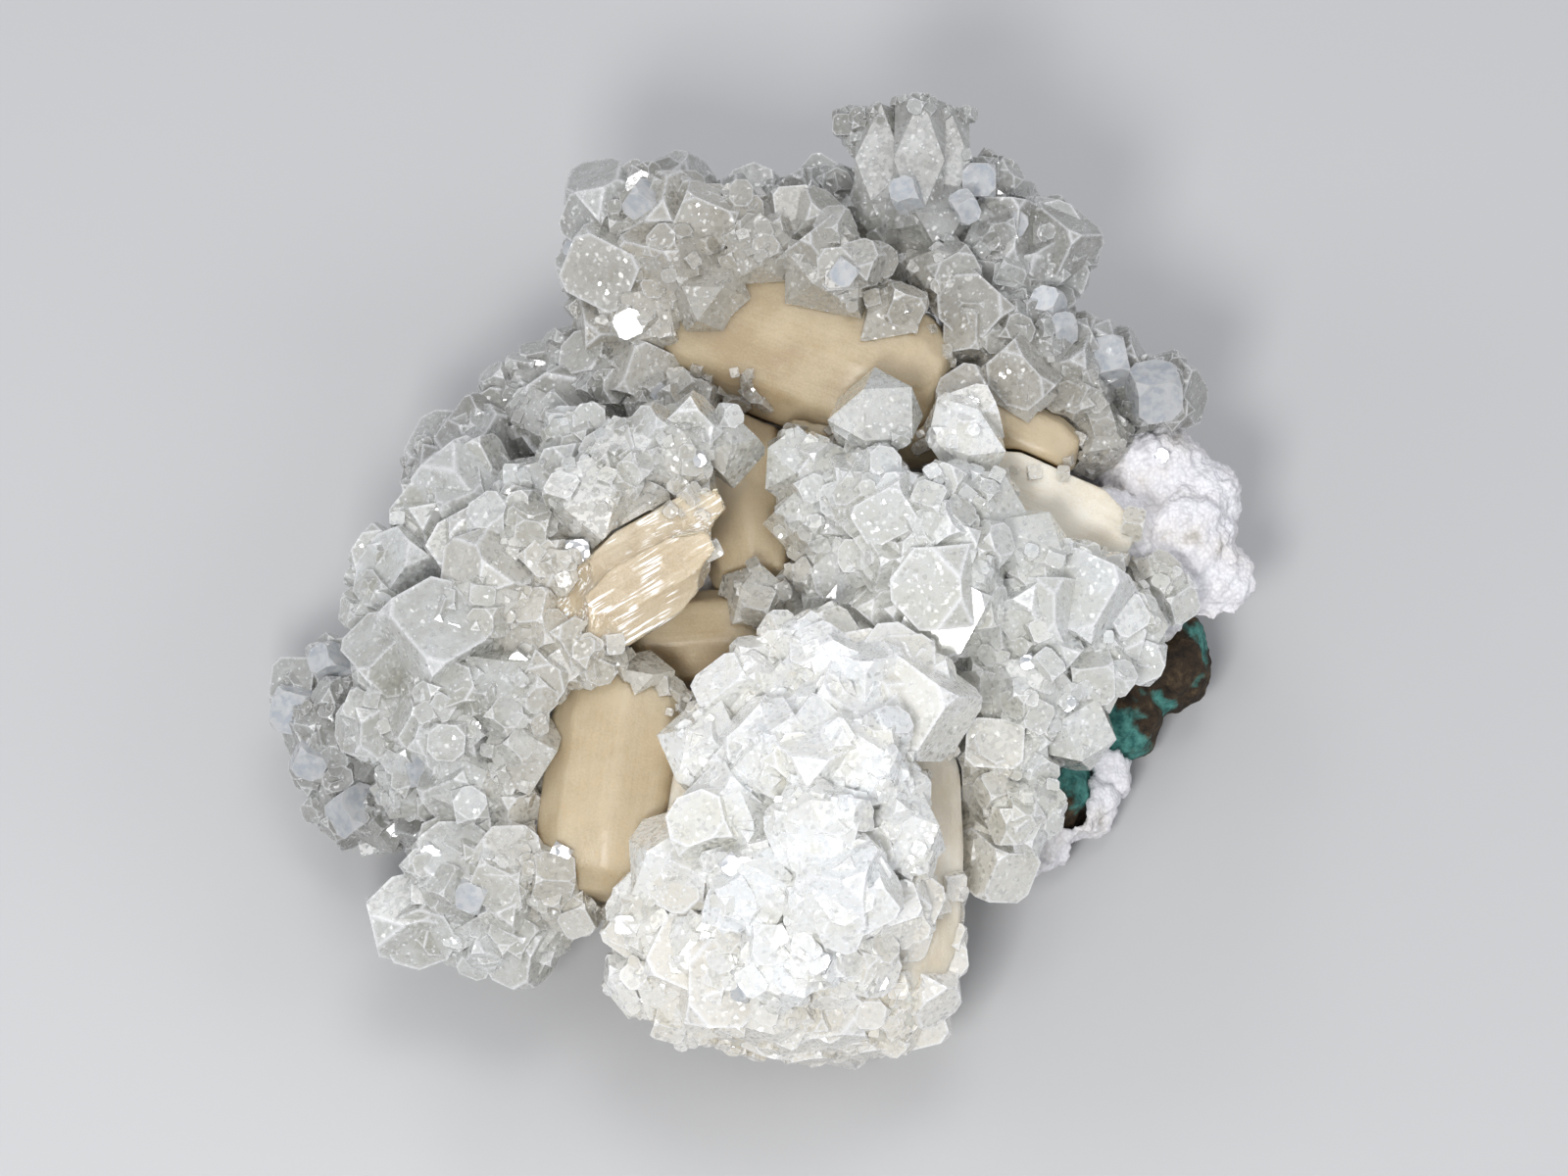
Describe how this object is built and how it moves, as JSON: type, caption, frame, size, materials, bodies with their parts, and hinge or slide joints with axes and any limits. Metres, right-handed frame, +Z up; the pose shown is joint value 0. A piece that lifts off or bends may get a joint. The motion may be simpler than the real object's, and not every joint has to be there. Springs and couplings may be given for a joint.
{
  "type": "apophyllite crystal cluster",
  "caption": "Mineral specimen: glassy blocky apophyllite crystals over peach stilbite sheaves, on white druse lining a lump of basalt, resting on its flat foot.",
  "frame": {"origin": "under the middle of the whole specimen's box, on the surface that its flat foot rests on", "axes": "+Z up; -Y towards the viewer's side of the show face, which is looked down on at 60 degrees; +X to the viewer's right"},
  "size_m": [0.1122, 0.113, 0.0487],
  "materials": {
    "basalt": "rough broken rock, dark brown, with blue-green patches",
    "white_druse": "sugary, finely granular, matte white",
    "stilbite": "satin, smooth, finely striated, peach",
    "apophyllite": "glassy and glittering, milky to clear, colourless"
  },
  "bodies": {
    "root": {"apophyllite_back_left": "apophyllite", "apophyllite_far_left": "apophyllite", "apophyllite_front": "apophyllite", "apophyllite_left": "apophyllite", "apophyllite_lower_left": "apophyllite", "apophyllite_right": "apophyllite", "apophyllite_single_centre": "apophyllite", "apophyllite_single_clear": "apophyllite", "apophyllite_single_pocket": "apophyllite", "apophyllite_tower": "apophyllite", "apophyllite_upper_left": "apophyllite", "basalt_matrix": "basalt", "stilbite_centre": "stilbite", "stilbite_front": "stilbite", "stilbite_left": "stilbite", "stilbite_pocket_back": "stilbite", "stilbite_pocket_front": "stilbite", "stilbite_right": "stilbite", "stilbite_right_back": "stilbite", "stilbite_upper": "stilbite", "white_druse": "white_druse", "white_druse_rim": "white_druse"}
  },
  "joints": []
}
